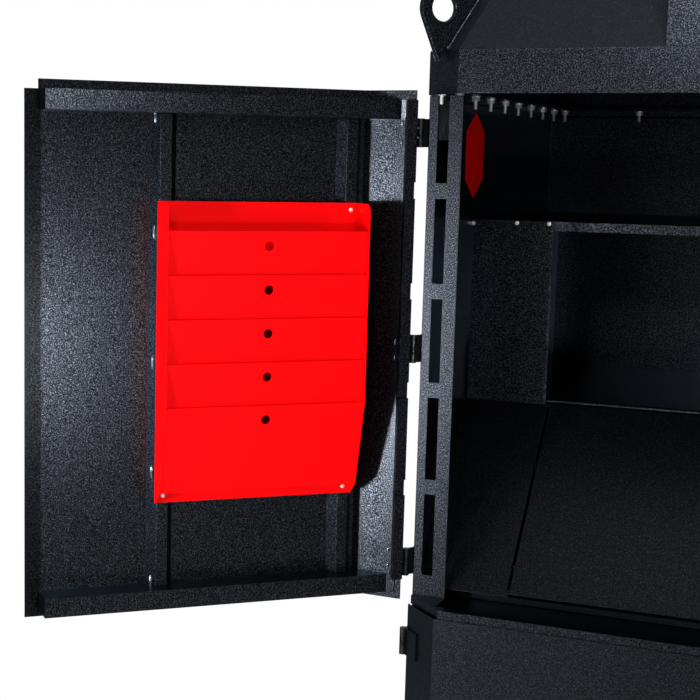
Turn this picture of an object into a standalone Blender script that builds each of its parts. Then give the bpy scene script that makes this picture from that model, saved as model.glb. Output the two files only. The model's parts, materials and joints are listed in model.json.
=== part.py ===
"""Jobsite storage cabinet: a sheet-steel site workstation with double doors over a lower cupboard.

Lengths are in metres, +Z is up, the front faces -Y, and the origin is on the floor under the middle.
Plan points are written as (inset, setback): inset runs in from a side face, setback back from the front.
Door points are written as (reach, stand): reach runs from the hinge axis to the free edge, stand outwards.
"""

import math

import bmesh
import bpy

# Overall body
WIDTH = 1.166
DEPTH = 0.885
CORNER = 0.062
RIM_HEIGHT = 0.880
OPENING_HEIGHT = 0.774
WALL = 0.003
FIT = 0.0003

# Base: runners for a pallet truck, and the floor pan on them
SKID_WIDTH = 0.100
SKID_HEIGHT = 0.100
SKID_WALL = 0.004
SKID_SIDE_INSET = 0.065
PAN_SKIRT = 0.043

# Canopy
FASCIA_HEIGHT = 0.063
ROOF_RISE = 0.105
ROOF_INSET = 0.049
FLANGE_WIDTH = 0.040
FLANGE_LIFT = 0.0105
JOGGLE_DROP = 0.0015
HEADER_WIDTH = 0.460

# Lifting lugs on the four hips
LUG_THICKNESS = 0.010
LUG_EYE_RADIUS = 0.0195
LUG_OUTER_RADIUS = 0.036
LUG_EYE_OVERHANG = 0.0048
LUG_EYE_HEIGHT = 0.061
LUG_FOOT_HEIGHT = 0.085
LUG_TOE_DROP = 0.016

# Corner posts with a row of slots
POST_SETBACK = 0.068
POST_WIDTH = 0.053
POST_RETURN = 0.010
SLOT_COUNT = 5
SLOT_GAP = 0.0245
SLOT_WIDTH = 0.0167
SLOT_INSET = 0.0145
SLOT_START = 0.034
SLOT_TOP_MARGIN = 0.002

# Rim and divider deck
RIM_BAND = 0.013
RIM_LIP = 0.018
DECK_DROP = 0.010

# Shelf, cubby and desk
SHELF_SETBACK = 0.3225
SHELF_DROP = 0.191
SHELF_LIP = 0.016
CUBBY_HEIGHT = 0.2786
COVER_INSET = 0.0066
COVER_EDGE = 0.141
COVER_RETURN = 0.038
COVER_SHEET = 0.0016
DESK_FRONT_SETBACK = 0.0817
DESK_FRONT_HEIGHT = 0.012
DESK_SHEET = 0.002
LID_EDGE = 0.1494
LID_GAP = 0.001
LID_SEAM = 0.004
RISER_SETBACK = 0.035
LID_LIP = 0.012
LID_PIN_RADIUS = 0.0025
LID_PIN_SETBACK = 0.0045
LID_RUNNING = 0.0003
LID_ROLL_START = -80.0
LID_ROLL_END = 195.0

# Hexagonal infill in each side wall
HEX_SETBACK = 0.324
HEX_DROP = 0.086
HEX_HALF_WIDTH = 0.056
HEX_HALF_LENGTH = 0.071
HEX_HALF_SIDE = 0.039

# Hinges
PIVOT_OUT = 0.0094
PIVOT_SETBACK = 0.0583
BARREL_RADIUS = 0.0055
PIN_RADIUS = 0.0025
PIN_RUNNING = 0.0002
HINGE_HEIGHT = 0.043
KNUCKLE_GAP = 0.0004
LEAF = 0.003
FRAME_LEAF_REACH = 0.030
DOOR_LEAF_REACH = 0.034
ROUND_SIDES = 16
UPPER_HINGE_FOOT = 0.054
UPPER_HINGE_LIFT = 0.003
UPPER_HINGE_HEAD = 0.056
LOWER_HINGE_FOOT = 0.077
LOWER_HINGE_HEAD = 0.074

# Doors
DOOR_SHEET = 0.002
DOOR_STANDOFF = 0.0005
DOOR_OPEN = 137.2
MEETING_GAP = 0.0036
DOOR_OVERLAP_TOP = 0.0073
DOOR_OVERLAP_BOTTOM = 0.0062
HINGE_EDGE = 0.0081
HEM = 0.024
HEM_SHEET = 0.002
HEM_CLEAR = 0.0008
NOTCH_REACH = 0.020
NOTCH_HEIGHT = 0.014
RAIL_HEIGHT = 0.029
RAIL_DEPTH = 0.0435
RAIL_TAB = 0.0015
RAIL_TAB_START = 0.015
RAIL_TOP_DROP = 0.0075
RAIL_BOTTOM_LIFT = 0.003
RAIL_SETBACK = 0.0015
RAIL_LAP = 0.004
LOWER_DOOR_BOTTOM = 0.128
LOWER_RAIL_HEIGHT = 0.025
LOWER_RAIL_CLEAR = 0.003

# Hinge rail with raised ribs
RIB_WIDTH = 0.017
RIB_RISE = 0.007
RIB_CLEAR = 0.0014
RIB_LEAN = 0.0056
RIB_FOOT_LAP = 0.004

# Hat stiffeners on the upper doors
HAT_HEIGHT = 0.018
HAT_TOP = 0.0175
HAT_BASE = 0.040
HAT_SHEET = 0.0015
HAT_REACHES = (0.386, 0.093)

# Document rack on the left door
RACK_SHEET = 0.0015
RACK_HINGE_SIDE = 0.084
RACK_WIDTH = 0.3145
RACK_HEIGHT = 0.450
RACK_DROP = 0.001
RACK_DEPTH = 0.055
RACK_FOOT_DEPTH = 0.027
RACK_TOE = 0.006
RACK_FLOOR_LIFT = 0.019
RACK_CORNER = 0.012
POCKET_COUNT = 5
POCKET_TOP_DROP = 0.041
POCKET_PITCH = 0.0646
POCKET_LEAN = 0.0072
POCKET_HEIGHT = 0.076
POCKET_FOLD = 0.005
POCKET_HOLE = 0.007
POCKET_HOLE_DROP = 0.022

# Locks
LOCK_FROM_EDGE = 0.052
LOCK_SPINDLE_RADIUS = 0.006
LOCK_RUNNING = 0.0005
LOCK_ROSE_RADIUS = 0.018
LOCK_ROSE = 0.005
LOCK_GRIP_LENGTH = 0.080
LOCK_GRIP_WIDTH = 0.014
LOCK_GRIP_DEPTH = 0.016
LOCK_NECK = 0.012
CAM_LENGTH = 0.045
CAM_WIDTH = 0.020
CAM_SHEET = 0.003
CAM_SETBACK = 0.0345
UPPER_LOCK_DROP = 0.027
LOWER_LOCK_DROP = 0.330

# Lower front
MULLION_WIDTH = 0.056
MULLION_DEPTH = 0.030

# Derived places
HALF_WIDTH = WIDTH / 2
FRONT = -DEPTH / 2
PAN_TOP = SKID_HEIGHT + PAN_SKIRT
OPENING_TOP = RIM_HEIGHT + OPENING_HEIGHT
FASCIA_TOP = OPENING_TOP + FASCIA_HEIGHT
ROOF_TOP = FASCIA_TOP + ROOF_RISE
LEFT, RIGHT = -1, 1
SIDES = {"left": LEFT, "right": RIGHT}

# What is placed by the opening, in height above the rim unless it says otherwise
SLOT_PITCH = (OPENING_HEIGHT - SLOT_START - SLOT_TOP_MARGIN + SLOT_GAP) / SLOT_COUNT
SLOT_LENGTH = SLOT_PITCH - SLOT_GAP
SHELF_TOP = OPENING_TOP - SHELF_DROP
UPPER_HINGE_HEIGHTS = (UPPER_HINGE_FOOT, OPENING_HEIGHT / 2 + UPPER_HINGE_LIFT,
                       OPENING_HEIGHT - UPPER_HINGE_HEAD)
LOWER_HINGE_HEIGHTS = (PAN_TOP + LOWER_HINGE_FOOT - RIM_HEIGHT, -LOWER_HINGE_HEAD)
RACK_BOTTOM = (OPENING_HEIGHT - RACK_HEIGHT) / 2 - RACK_DROP
RACK_TOP = RACK_BOTTOM + RACK_HEIGHT
POCKET_TOP = RACK_TOP - POCKET_TOP_DROP
UPPER_LOCK_HEIGHT = OPENING_HEIGHT / 2 - UPPER_LOCK_DROP

# Closed door profile, in reach and stand from the hinge axis
SKIN_STAND = PIVOT_SETBACK + DOOR_STANDOFF
BEND_REACH = HINGE_EDGE + SKIN_STAND
FREE_REACH = HALF_WIDTH + PIVOT_OUT - MEETING_GAP / 2
POST_STAND = PIVOT_SETBACK - POST_SETBACK
RIB_STAND = POST_STAND + RIB_CLEAR
DIAGONAL = math.sqrt(0.5)


def clear_scene():
    """Start from an empty file."""
    for old in list(bpy.data.objects):
        bpy.data.objects.remove(old)


def paint(name, colour, roughness, metallic):
    """A Principled material."""
    material = bpy.data.materials.new(name)
    material.use_nodes = True
    shader = material.node_tree.nodes["Principled BSDF"]
    shader.inputs["Base Color"].default_value = (*colour, 1.0)
    shader.inputs["Roughness"].default_value = roughness
    shader.inputs["Metallic"].default_value = metallic
    return material


def empty(name, place, turn=0.0):
    """A pivot that moving pieces hang from."""
    pivot = bpy.data.objects.new(name, None)
    pivot.location = place
    pivot.rotation_euler = (0.0, 0.0, turn)
    bpy.context.collection.objects.link(pivot)
    return pivot


def piece(name, bm, material, parent=None):
    """Turn a bmesh into a named object with its faces outwards."""
    bmesh.ops.recalc_face_normals(bm, faces=bm.faces)
    mesh = bpy.data.meshes.new(name)
    bm.to_mesh(mesh)
    bm.free()
    mesh.materials.append(material)
    obj = bpy.data.objects.new(name, mesh)
    obj.parent = parent
    bpy.context.collection.objects.link(obj)
    return obj


def solve(target, tool, operation):
    """Join or cut a piece with a helper shape that is itself left out."""
    tool.hide_render = True
    tool.display_type = "WIRE"
    modifier = target.modifiers.new(tool.name, "BOOLEAN")
    modifier.operation = operation
    modifier.solver = "EXACT"
    modifier.object = tool
    return target


def spot(axis, first, second, along):
    """A 3-D point from a plane point and the distance along the axis square to that plane."""
    if axis == "X":
        return (along, first, second)
    if axis == "Y":
        return (first, along, second)
    return (first, second, along)


def prism(outline, axis, low, high, bm=None):
    """A closed outline extruded along X, Y or Z."""
    bm = bm or bmesh.new()
    corners = [bm.verts.new(spot(axis, a, b, low)) for a, b in outline]
    face = bm.faces.new(corners)
    grown = bmesh.ops.extrude_face_region(bm, geom=[face])["geom"]
    moved = [item for item in grown if isinstance(item, bmesh.types.BMVert)]
    bmesh.ops.translate(bm, verts=moved, vec=spot(axis, 0.0, 0.0, high - low))
    return bm


def loft(loops):
    """Loops of equal count joined in order, with a cap on the first and the last."""
    bm = bmesh.new()
    rings = [[bm.verts.new(point) for point in loop] for loop in loops]
    for lower, upper in zip(rings, rings[1:]):
        for i in range(len(lower)):
            j = (i + 1) % len(lower)
            bm.faces.new((lower[i], lower[j], upper[j], upper[i]))
    bm.faces.new(rings[0])
    bm.faces.new(rings[-1])
    return bm


def offset_path(path, distance):
    """An open path moved sideways, to its left, with mitred corners."""
    normals = []
    for (ax, ay), (bx, by) in zip(path, path[1:]):
        length = math.hypot(bx - ax, by - ay)
        normals.append(((ay - by) / length, (bx - ax) / length))
    moved = []
    for i, (x, y) in enumerate(path):
        before = normals[max(i - 1, 0)]
        after = normals[min(i, len(normals) - 1)]
        scale = distance / (1.0 + before[0] * after[0] + before[1] * after[1])
        moved.append((x + (before[0] + after[0]) * scale, y + (before[1] + after[1]) * scale))
    return moved


def folded(path, thickness):
    """The outline of a bent sheet whose right face follows the path."""
    return list(path) + offset_path(path, thickness)[::-1]


def arc(centre, radius, start, end, steps):
    """Points along an arc, angles in degrees."""
    points = []
    for i in range(steps + 1):
        angle = math.radians(start + (end - start) * i / steps)
        points.append((centre[0] + radius * math.cos(angle), centre[1] + radius * math.sin(angle)))
    return points


def circle(centre, radius, sides=ROUND_SIDES):
    """A closed ring of points."""
    return arc(centre, radius, 0.0, 360.0 - 360.0 / sides, sides - 1)


def rectangle(low_a, low_b, high_a, high_b):
    """A closed rectangle outline."""
    return [(low_a, low_b), (high_a, low_b), (high_a, high_b), (low_a, high_b)]


def across(side, inset):
    """World X of a point that lies inset from one side face."""
    return side * (HALF_WIDTH - inset)


def back(setback):
    """World Y of a point that lies behind the front face."""
    return FRONT + setback


def plan(side, points):
    """Plan points of one side in world X and Y."""
    return [(across(side, inset), back(setback)) for inset, setback in points]


def leaf(side, points):
    """Door profile points in the hinge's own X and Y, with the door closed."""
    return [(-side * reach, -stand) for reach, stand in points]


def body_outline(inset=0.0, corner=CORNER):
    """The plan of the body: two cut corners in front and square corners behind."""
    low, rear = inset, DEPTH - inset
    cut = low + corner
    left = [(low, rear), (low, cut), (cut, low)]
    right = [(cut, low), (low, cut), (low, rear)]
    return plan(LEFT, left) + plan(RIGHT, right)


def inner_outline(wall):
    """The body's plan moved in by a wall, cut corners included."""
    return body_outline(wall, CORNER - wall * (2.0 - math.sqrt(2.0)))


def level(outline, height):
    """A plan outline as 3-D points at one height."""
    return [(x, y, height) for x, y in outline]


def make_base(steel):
    """Three runners with open ends and the floor pan they carry."""
    middle_inset = HALF_WIDTH - SKID_WIDTH / 2
    insets = {"skid_left": (LEFT, SKID_SIDE_INSET), "skid_middle": (LEFT, middle_inset),
              "skid_right": (RIGHT, SKID_SIDE_INSET)}
    for name, (side, inset) in insets.items():
        ends = sorted((across(side, inset), across(side, inset + SKID_WIDTH)))
        top = SKID_HEIGHT - FIT
        outer = rectangle(ends[0], 0.0, ends[1], top)
        inner = rectangle(ends[0] + SKID_WALL, SKID_WALL, ends[1] - SKID_WALL, top - SKID_WALL)
        skid = piece(name, prism(outer, "Y", back(0.0), back(DEPTH)), steel)
        hollow = piece(name + "_hollow", prism(inner, "Y", back(-WALL), back(DEPTH + WALL)), steel)
        solve(skid, hollow, "DIFFERENCE")
    pan = [level(body_outline(), PAN_TOP), level(body_outline(), SKID_HEIGHT),
           level(inner_outline(WALL), SKID_HEIGHT), level(inner_outline(WALL), PAN_TOP - WALL)]
    piece("floor_pan", loft(pan), steel)


def wall_profile():
    """Section of a wall whose top steps in behind the fascia and turns in as a bolting flange."""
    foot = PAN_TOP + FIT
    shoulder = OPENING_TOP - FIT
    step = WALL + FIT
    flange = OPENING_TOP + FLANGE_LIFT
    return [(0.0, foot), (0.0, shoulder), (step, shoulder), (step, flange), (FLANGE_WIDTH, flange),
            (FLANGE_WIDTH, flange - WALL), (step + WALL, flange - WALL),
            (step + WALL, shoulder - JOGGLE_DROP), (WALL, shoulder - JOGGLE_DROP - WALL), (WALL, foot)]


def hexagon(margin):
    """The hexagonal opening in a side wall, in world Y and Z."""
    middle, height = back(HEX_SETBACK), OPENING_TOP - HEX_DROP
    wide, tall, straight = HEX_HALF_WIDTH - margin, HEX_HALF_LENGTH - margin, HEX_HALF_SIDE - margin / 2
    return [(middle, height + tall), (middle + wide, height + straight), (middle + wide, height - straight),
            (middle, height - tall), (middle - wide, height - straight), (middle - wide, height + straight)]


def make_walls(steel, red):
    """Side walls with their infill plates, and the back panel between them."""
    front = back(POST_SETBACK + WALL + FIT)
    for label, side in SIDES.items():
        section = [(across(side, inset), height) for inset, height in wall_profile()]
        wall = piece("side_panel_" + label, prism(section, "Y", front, back(DEPTH)), steel)
        ends = sorted((across(side, 0.0), across(side, WALL)))
        piece("wall_infill_" + label, prism(hexagon(FIT), "X", *ends), red)
        hole = prism(hexagon(0.0), "X", ends[0] - WALL, ends[1] + WALL)
        solve(wall, piece(label + "_wall_opening", hole, steel), "DIFFERENCE")
        ends = sorted((across(side, -WALL), across(side, FLANGE_WIDTH + WALL)))
        corner = rectangle(ends[0], back(DEPTH - WALL - FIT), ends[1], back(DEPTH + WALL))
        relief = prism(corner, "Z", OPENING_TOP - 2 * FIT, OPENING_TOP + FLANGE_LIFT + WALL)
        solve(wall, piece(label + "_wall_fascia_relief", relief, steel), "DIFFERENCE")
    section = [(back(DEPTH - inset), height) for inset, height in wall_profile()]
    sheet = prism(section, "X", across(LEFT, WALL + FIT), across(RIGHT, WALL + FIT))
    panel = piece("back_panel", sheet, steel)
    top = OPENING_TOP + FLANGE_LIFT
    knee = OPENING_TOP - JOGGLE_DROP - WALL - 2 * FIT
    step, edge, rim = WALL + FIT, FLANGE_WIDTH + FIT, top + WALL
    reliefs = {"joggle": [(0.0, knee), (step, knee), (2 * step, knee + step), (2 * step, rim), (0.0, rim)],
               "flange": [(0.0, top - step), (edge, top - step), (edge, rim), (0.0, rim)]}
    for name, cut in reliefs.items():
        relief = bmesh.new()
        for side in SIDES.values():
            section = [(across(side, inset), height) for inset, height in cut]
            prism(section, "Y", back(DEPTH - FLANGE_WIDTH - WALL), back(DEPTH + WALL), relief)
        solve(panel, piece(f"back_{name}_relief", relief, steel), "DIFFERENCE")


def make_posts(steel):
    """Slotted corner posts, folded back along their inner edge."""
    for label, side in SIDES.items():
        path = [(0.0, POST_SETBACK), (POST_WIDTH, POST_SETBACK), (POST_WIDTH, POST_SETBACK + POST_RETURN)]
        outline = plan(side, folded(path, WALL))
        post = piece("slotted_post_" + label, prism(outline, "Z", PAN_TOP + FIT, OPENING_TOP - FIT), steel)
        ends = sorted((across(side, SLOT_INSET), across(side, SLOT_INSET + SLOT_WIDTH)))
        slots = bmesh.new()
        for i in range(SLOT_COUNT):
            low = RIM_HEIGHT + SLOT_START + i * SLOT_PITCH
            window = rectangle(ends[0], low, ends[1], low + SLOT_LENGTH)
            prism(window, "Y", back(POST_SETBACK - WALL), back(POST_SETBACK + 2 * WALL), slots)
        solve(post, piece(label + "_post_slots", slots, steel), "DIFFERENCE")


def make_deck(steel):
    """The divider between cupboard and desk, with a raised rim along its front and a plate at each post."""
    front_stop = POST_SETBACK - FIT
    notch_inset = POST_WIDTH + FIT
    notch_setback = POST_SETBACK + POST_RETURN + FIT
    edge, rear = WALL + FIT, DEPTH - WALL - FIT
    plate_stop = front_stop - FIT
    half = [(edge, rear), (edge, notch_setback), (notch_inset, notch_setback), (notch_inset, plate_stop),
            (FIT, plate_stop), (FIT, CORNER + FIT), (CORNER + FIT, FIT)]
    outline = plan(LEFT, half) + plan(RIGHT, half[::-1])
    low = RIM_HEIGHT - RIM_BAND
    deck = piece("divider_deck", prism(outline, "Z", low + FIT, RIM_HEIGHT - DECK_DROP), steel)
    outer = [(0.0, front_stop), (0.0, CORNER), (CORNER, 0.0)]
    inner = [(POST_WIDTH, RIM_LIP), (POST_WIDTH, front_stop)]
    band = plan(LEFT, outer) + plan(RIGHT, outer[::-1]) + plan(RIGHT, inner[::-1]) + plan(LEFT, inner)
    rim = prism(band, "Z", low, RIM_HEIGHT)
    solve(deck, piece("deck_rim", rim, steel), "UNION")


def make_mullion(steel):
    """The upright that the lower doors close on."""
    outline = rectangle(-MULLION_WIDTH / 2, back(FIT), MULLION_WIDTH / 2, back(MULLION_DEPTH))
    piece("lower_mullion", prism(outline, "Z", PAN_TOP + FIT, RIM_HEIGHT - RIM_BAND - FIT), steel)


def make_canopy(steel):
    """Hip roof on a fascia, hollow from below, with a bolting flange inside."""
    top = body_outline(ROOF_INSET, CORNER)
    ledge = OPENING_TOP + FLANGE_LIFT + FIT
    thin = inner_outline(WALL)
    lining = body_outline(ROOF_INSET + WALL, CORNER - WALL * (2.0 - math.sqrt(2.0)))
    shelf = inner_outline(FLANGE_WIDTH)
    loops = [level(top, ROOF_TOP), level(body_outline(), FASCIA_TOP), level(body_outline(), OPENING_TOP),
             level(thin, OPENING_TOP), level(thin, ledge), level(shelf, ledge), level(shelf, ledge + WALL),
             level(thin, ledge + WALL), level(thin, FASCIA_TOP - WALL / 2), level(lining, ROOF_TOP - WALL)]
    piece("canopy", loft(loops), steel)
    slope = ROOF_INSET / ROOF_RISE
    foot, crown = FASCIA_TOP + FIT, ROOF_TOP
    wedge = [(back(0.0), foot), (back(0.0), crown), (back(slope * (crown - FASCIA_TOP) - FIT * 2), crown)]
    piece("header_box", prism(wedge, "X", -HEADER_WIDTH / 2, HEADER_WIDTH / 2), steel)


def lug_outline():
    """The lug in the upright diagonal plane: inward run from the roof's edge, and height above it."""
    slope = math.sqrt(2.0) * ROOF_INSET / ROOF_RISE
    eye = (-LUG_EYE_OVERHANG, LUG_EYE_HEIGHT)
    toe = (-slope * LUG_TOE_DROP - 2 * FIT, -LUG_TOE_DROP)
    heel = (slope * LUG_FOOT_HEIGHT - 2 * FIT, LUG_FOOT_HEIGHT)

    def tangent(point, turn):
        away = math.hypot(point[0] - eye[0], point[1] - eye[1])
        bearing = math.atan2(point[1] - eye[1], point[0] - eye[0])
        return math.degrees(bearing + turn * math.acos(LUG_OUTER_RADIUS / away))

    start = tangent(heel, 1.0)
    end = tangent(toe, -1.0)
    if end < start:
        end += 360.0
    return [toe, heel] + arc(eye, LUG_OUTER_RADIUS, start, end, ROUND_SIDES), eye


def make_lugs(steel):
    """Four lifting lugs, each a plate standing on a hip of the roof."""
    outline, eye = lug_outline()
    hole = circle(eye, LUG_EYE_RADIUS, ROUND_SIDES + ROUND_SIDES // 2)
    front = CORNER / 2
    corners = {"front_left": (LEFT, front, front, 1), "front_right": (RIGHT, front, front, 1),
               "back_left": (LEFT, 0.0, DEPTH, -1), "back_right": (RIGHT, 0.0, DEPTH, -1)}
    for label, (side, inset, setback, inward) in corners.items():
        pivot = empty("lug_place_" + label, (across(side, inset), back(setback), FASCIA_TOP))
        pivot.rotation_euler = (0.0, 0.0, math.atan2(inward, -side))
        lug = piece("lifting_lug_" + label,
                    prism(outline, "Y", -LUG_THICKNESS / 2, LUG_THICKNESS / 2), steel, pivot)
        bore = prism(hole, "Y", -LUG_THICKNESS, LUG_THICKNESS)
        solve(lug, piece(label + "_lug_eye", bore, steel, pivot), "DIFFERENCE")


def make_shelving(steel):
    """Shelf with a turned-down lip, the cubby floor, and the two covers beside the cubby."""
    edge, rear = WALL + FIT, DEPTH - WALL - FIT
    top = SHELF_TOP
    path = [(back(rear), top), (back(SHELF_SETBACK), top), (back(SHELF_SETBACK), top - SHELF_LIP)]
    piece("shelf", prism(folded(path, WALL), "X", across(LEFT, edge), across(RIGHT, edge)), steel)
    floor_top = RIM_HEIGHT + CUBBY_HEIGHT
    board = rectangle(back(SHELF_SETBACK), floor_top - WALL, back(rear), floor_top)
    piece("cubby_floor", prism(board, "X", across(LEFT, edge), across(RIGHT, edge)), steel)
    face = SHELF_SETBACK - FIT - COVER_SHEET
    for label, side in SIDES.items():
        path = [(COVER_INSET, face), (COVER_EDGE, face), (COVER_EDGE, SHELF_SETBACK + COVER_RETURN)]
        front = prism(plan(side, folded(path, COVER_SHEET)), "Z", floor_top + FIT, top - FIT)
        cover = piece("cover_panel_" + label, front, steel)
        ends = sorted((across(side, COVER_EDGE - WALL), across(side, COVER_EDGE + WALL)))
        room = rectangle(ends[0], back(SHELF_SETBACK - FIT), ends[1], back(SHELF_SETBACK + 2 * COVER_RETURN))
        notch = prism(room, "Z", top - SHELF_LIP - FIT, top + WALL)
        solve(cover, piece(label + "_cover_notch", notch, steel), "DIFFERENCE")


def desk_line():
    """Front and back ends of the sloping desk surface, in world Y and Z."""
    low = (back(DESK_FRONT_SETBACK), RIM_HEIGHT + DESK_FRONT_HEIGHT)
    high = (back(SHELF_SETBACK - WALL - FIT), RIM_HEIGHT + CUBBY_HEIGHT)
    return low, high


def lid_axis():
    """The desk lid's hinge axis, in world Y and Z."""
    rise = LID_PIN_RADIUS + LID_RUNNING + DESK_SHEET + LID_GAP
    return back(SHELF_SETBACK + LID_PIN_SETBACK), RIM_HEIGHT + CUBBY_HEIGHT + rise


def make_desk(steel):
    """Sloping desk: two fixed strips, a riser set back under them, and a lid rolled round its hinge pin."""
    low, high = desk_line()
    edge = WALL + FIT
    for label, side in SIDES.items():
        ends = sorted((across(side, edge), across(side, LID_EDGE - LID_SEAM)))
        piece("desk_strip_" + label, prism(folded([high, low], DESK_SHEET), "X", *ends), steel)
    floor_height = RIM_HEIGHT - DECK_DROP + FIT
    step = math.hypot(high[0] - low[0], high[1] - low[1])
    run, rise = (high[0] - low[0]) / step, (high[1] - low[1]) / step
    under = DESK_SHEET + FIT
    face = low[0] + under * rise + DESK_SHEET + RISER_SETBACK
    crown = low[1] + (face - low[0]) * rise / run - under / run
    rail = rectangle(face, floor_height, face + DESK_SHEET, crown)
    piece("desk_riser", prism(rail, "X", across(LEFT, edge), across(RIGHT, edge)), steel)
    axis = lid_axis()
    pivot = empty("desk_lid_axis", (0.0, *axis))
    inner = LID_PIN_RADIUS + LID_RUNNING
    roll = arc((0.0, 0.0), inner + DESK_SHEET, LID_ROLL_END, LID_ROLL_START, ROUND_SIDES)
    low_end = (low[0] - axis[0] + DESK_SHEET * rise, low[1] - axis[1] - DESK_SHEET * run)
    lip = (low_end[0] - LID_LIP * rise, low_end[1] + LID_LIP * run)
    path = [lip, low_end, (high[0] - axis[0], roll[-1][1])] + roll[::-1]
    sheet = prism(folded(path, DESK_SHEET), "X", across(LEFT, LID_EDGE), across(RIGHT, LID_EDGE))
    piece("desk_lid", sheet, steel, pivot)
    pin = prism(circle((axis[0], axis[1]), LID_PIN_RADIUS), "X",
                across(LEFT, COVER_EDGE + FIT), across(RIGHT, COVER_EDGE + FIT))
    piece("desk_hinge_pin", pin, steel)


def knuckle_heights():
    """Bottom and top of the three knuckles of a hinge, about its middle."""
    each = (HINGE_HEIGHT - 2 * KNUCKLE_GAP) / 3
    lows = [-HINGE_HEIGHT / 2 + i * (each + KNUCKLE_GAP) for i in range(3)]
    return [(low, low + each) for low in lows]


def make_frame_hinge(name, side, height, steel):
    """Frame half of a hinge: a leaf on the side wall, two knuckles and the fixed pin."""
    pivot = empty(name + "_axis", (across(side, -PIVOT_OUT), back(PIVOT_SETBACK), height))
    knuckles = knuckle_heights()
    low, high = knuckles[0][0], knuckles[-1][1]
    leaf_face = PIVOT_OUT - FIT
    start = POST_STAND - WALL
    half = LEAF / 2
    path = [(half, -BARREL_RADIUS * DIAGONAL / 2), (leaf_face, start), (leaf_face, start - FRAME_LEAF_REACH)]
    plate = folded(path, -LEAF)
    frame = piece(name, prism(leaf(side, plate), "Z", low + FIT, high - FIT), steel, pivot)
    room = prism(circle((0.0, 0.0), BARREL_RADIUS + FIT * 2), "Z",
                 knuckles[1][0] - KNUCKLE_GAP / 2, knuckles[1][1] + KNUCKLE_GAP / 2)
    solve(frame, piece(name + "_room", room, steel, pivot), "DIFFERENCE")
    for end, (bottom, top) in zip(("lower", "upper"), (knuckles[0], knuckles[2])):
        barrel = prism(circle((0.0, 0.0), BARREL_RADIUS), "Z", bottom, top)
        solve(frame, piece(f"{name}_{end}_knuckle", barrel, steel, pivot), "UNION")
    pin = prism(circle((0.0, 0.0), PIN_RADIUS), "Z", low + FIT, high - FIT)
    solve(frame, piece(name + "_pin", pin, steel, pivot), "UNION")


def add_door_hinge(door, name, side, height, pivot, steel):
    """Door half of a hinge, welded to the outside of the slanting hinge side."""
    bottom, top = knuckle_heights()[1]
    low, high = -HINGE_HEIGHT / 2, HINGE_HEIGHT / 2
    shift = HINGE_EDGE * DIAGONAL - DOOR_SHEET
    near = BARREL_RADIUS + 4 * FIT

    def along(run, out):
        return ((run + out) * DIAGONAL, (run - out) * DIAGONAL)

    plate = [along(near, shift - LEAF), along(near + DOOR_LEAF_REACH, shift - LEAF),
             along(near + DOOR_LEAF_REACH, shift + FIT), along(near, shift + FIT)]
    wing = prism(leaf(side, plate), "Z", height + low, height + high)
    solve(door, piece(name + "_leaf", wing, steel, pivot), "UNION")
    thin, thick = shift - LEAF + FIT, shift - FIT
    web = [along(0.0, thin), along(2 * near, thin), along(2 * near, thick), along(0.0, thick)]
    joint = prism(leaf(side, web), "Z", height + bottom + FIT, height + top - FIT)
    solve(door, piece(name + "_web", joint, steel, pivot), "UNION")
    barrel = prism(circle((0.0, 0.0), BARREL_RADIUS), "Z", height + bottom, height + top)
    solve(door, piece(name + "_barrel", barrel, steel, pivot), "UNION")
    bore = prism(circle((0.0, 0.0), PIN_RADIUS / math.cos(math.pi / ROUND_SIDES) + PIN_RUNNING), "Z",
                 height + bottom - LEAF, height + top + LEAF)
    solve(door, piece(name + "_bore", bore, steel, pivot), "DIFFERENCE")


def skin_profile(hem):
    """Section of a door skin: slanting hinge side, flat front, and a folded hem at the free edge."""
    start = (HINGE_EDGE, SKIN_STAND - BEND_REACH + HINGE_EDGE)
    path = [start, (BEND_REACH, SKIN_STAND), (FREE_REACH, SKIN_STAND)]
    outer = offset_path(path, DOOR_SHEET)
    inner = path[:2]
    if hem:
        fold = FREE_REACH - HEM
        inner += [(fold, SKIN_STAND), (fold, SKIN_STAND - HEM_SHEET), (FREE_REACH, SKIN_STAND - HEM_SHEET)]
    else:
        inner.append(path[2])
    return inner + outer[::-1]


def slant_point(reach, gap):
    """A point at some gap inside the skin's slanting side."""
    run = gap * DIAGONAL
    return reach + run, reach - HINGE_EDGE - run


def rail_profile(stop, lap=0.0):
    """Section, from above, of a straight rail with a tab on the slanting side and a lap over the hem."""
    face = SKIN_STAND - FIT
    front = face - RAIL_DEPTH
    tab = FIT + RAIL_TAB
    bend = BEND_REACH + FIT * math.tan(math.pi / 8)
    tip = front + HINGE_EDGE + tab * math.sqrt(2.0)
    end = [(stop, face), (stop, front)]
    if lap:
        end[1:] = [(stop, face - HEM_SHEET), (stop + lap, face - HEM_SHEET), (stop + lap, front)]
    foot = [(tip, front), slant_point(RAIL_TAB_START, tab)]
    return [slant_point(RAIL_TAB_START, FIT), (bend, face)] + end + foot


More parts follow.
